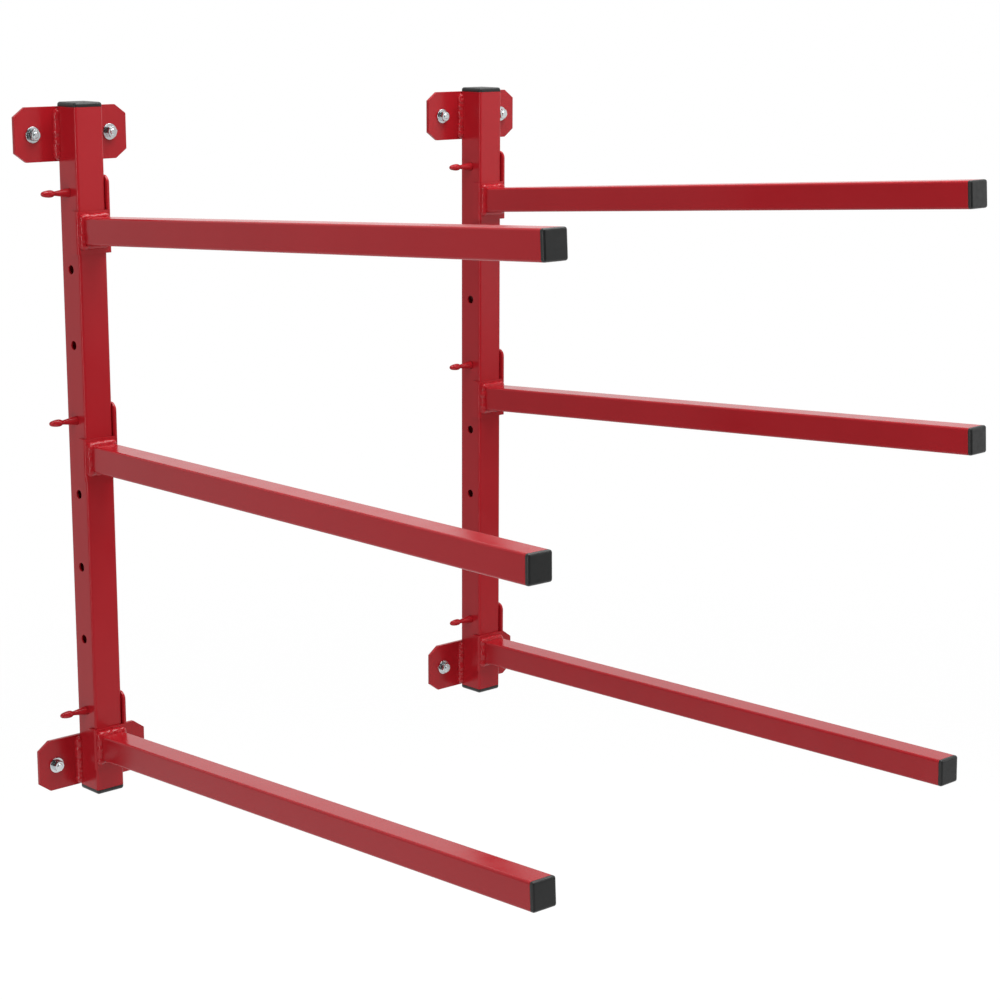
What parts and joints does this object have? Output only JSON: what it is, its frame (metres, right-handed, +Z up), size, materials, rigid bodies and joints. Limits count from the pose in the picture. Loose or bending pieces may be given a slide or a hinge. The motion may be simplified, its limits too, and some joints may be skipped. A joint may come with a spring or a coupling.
{
  "type": "bumper rack",
  "caption": "Wall rack of two square-tube uprights with pinned, lift-up cantilever arms that hold vehicle bumpers.",
  "frame": {"origin": "centre of the outer four wall studs, in the plane of the wall plates' backs", "axes": "+X along the wall to the right as seen from the room, +Y into the wall, +Z up; the arms run out along -Y"},
  "size_m": [0.656, 0.7089, 0.699],
  "materials": {
    "red_paint": "gloss red enamel on steel tube and plate",
    "weld_paint": "gloss red enamel over rippled weld bead",
    "zinc_plate": "bright zinc plate",
    "black_plastic": "moulded black plastic, satin"
  },
  "bodies": {
    "root": {"left_upright": "red_paint", "left_top_plate": "red_paint", "left_bottom_plate": "red_paint", "left_plate_welds": "weld_paint", "left_top_cap": "black_plastic", "left_bottom_cap": "black_plastic", "left_wall_studs": "zinc_plate", "left_wall_nuts": "zinc_plate", "left_wall_washers": "zinc_plate", "right_upright": "red_paint", "right_top_plate": "red_paint", "right_bottom_plate": "red_paint", "right_plate_welds": "weld_paint", "right_top_cap": "black_plastic", "right_bottom_cap": "black_plastic", "right_wall_studs": "zinc_plate", "right_wall_nuts": "zinc_plate", "right_wall_washers": "zinc_plate"},
    "left_top_lift": {"left_top_arm": "red_paint", "left_top_saddle": "red_paint", "left_top_pin": "red_paint", "left_top_welds": "weld_paint", "left_top_end_cap": "black_plastic"},
    "left_middle_lift": {"left_middle_arm": "red_paint", "left_middle_saddle": "red_paint", "left_middle_pin": "red_paint", "left_middle_welds": "weld_paint", "left_middle_end_cap": "black_plastic"},
    "left_bottom_lift": {"left_bottom_arm": "red_paint", "left_bottom_saddle": "red_paint", "left_bottom_pin": "red_paint", "left_bottom_welds": "weld_paint", "left_bottom_end_cap": "black_plastic"},
    "right_top_lift": {"right_top_arm": "red_paint", "right_top_saddle": "red_paint", "right_top_pin": "red_paint", "right_top_welds": "weld_paint", "right_top_end_cap": "black_plastic"},
    "right_middle_lift": {"right_middle_arm": "red_paint", "right_middle_saddle": "red_paint", "right_middle_pin": "red_paint", "right_middle_welds": "weld_paint", "right_middle_end_cap": "black_plastic"},
    "right_bottom_lift": {"right_bottom_arm": "red_paint", "right_bottom_saddle": "red_paint", "right_bottom_pin": "red_paint", "right_bottom_welds": "weld_paint", "right_bottom_end_cap": "black_plastic"}
  },
  "joints": [
    {"name": "left_top_pivot", "type": "hinge", "parent": "root", "child": "left_top_lift", "pos_m": [-0.264, -0.02, 0.2625], "axis": [-1, 0, 0], "range_deg": [0, 85]},
    {"name": "left_middle_pivot", "type": "hinge", "parent": "root", "child": "left_middle_lift", "pos_m": [-0.264, -0.02, 0.0375], "axis": [-1, 0, 0], "range_deg": [0, 19]},
    {"name": "left_bottom_pivot", "type": "hinge", "parent": "root", "child": "left_bottom_lift", "pos_m": [-0.264, -0.02, -0.2625], "axis": [-1, 0, 0], "range_deg": [0, 21.5]},
    {"name": "right_top_pivot", "type": "hinge", "parent": "root", "child": "right_top_lift", "pos_m": [0.264, -0.02, 0.2625], "axis": [-1, 0, 0], "range_deg": [0, 85]},
    {"name": "right_middle_pivot", "type": "hinge", "parent": "root", "child": "right_middle_lift", "pos_m": [0.264, -0.02, 0.0375], "axis": [-1, 0, 0], "range_deg": [0, 17.5]},
    {"name": "right_bottom_pivot", "type": "hinge", "parent": "root", "child": "right_bottom_lift", "pos_m": [0.264, -0.02, -0.2625], "axis": [-1, 0, 0], "range_deg": [0, 25.5]}
  ]
}
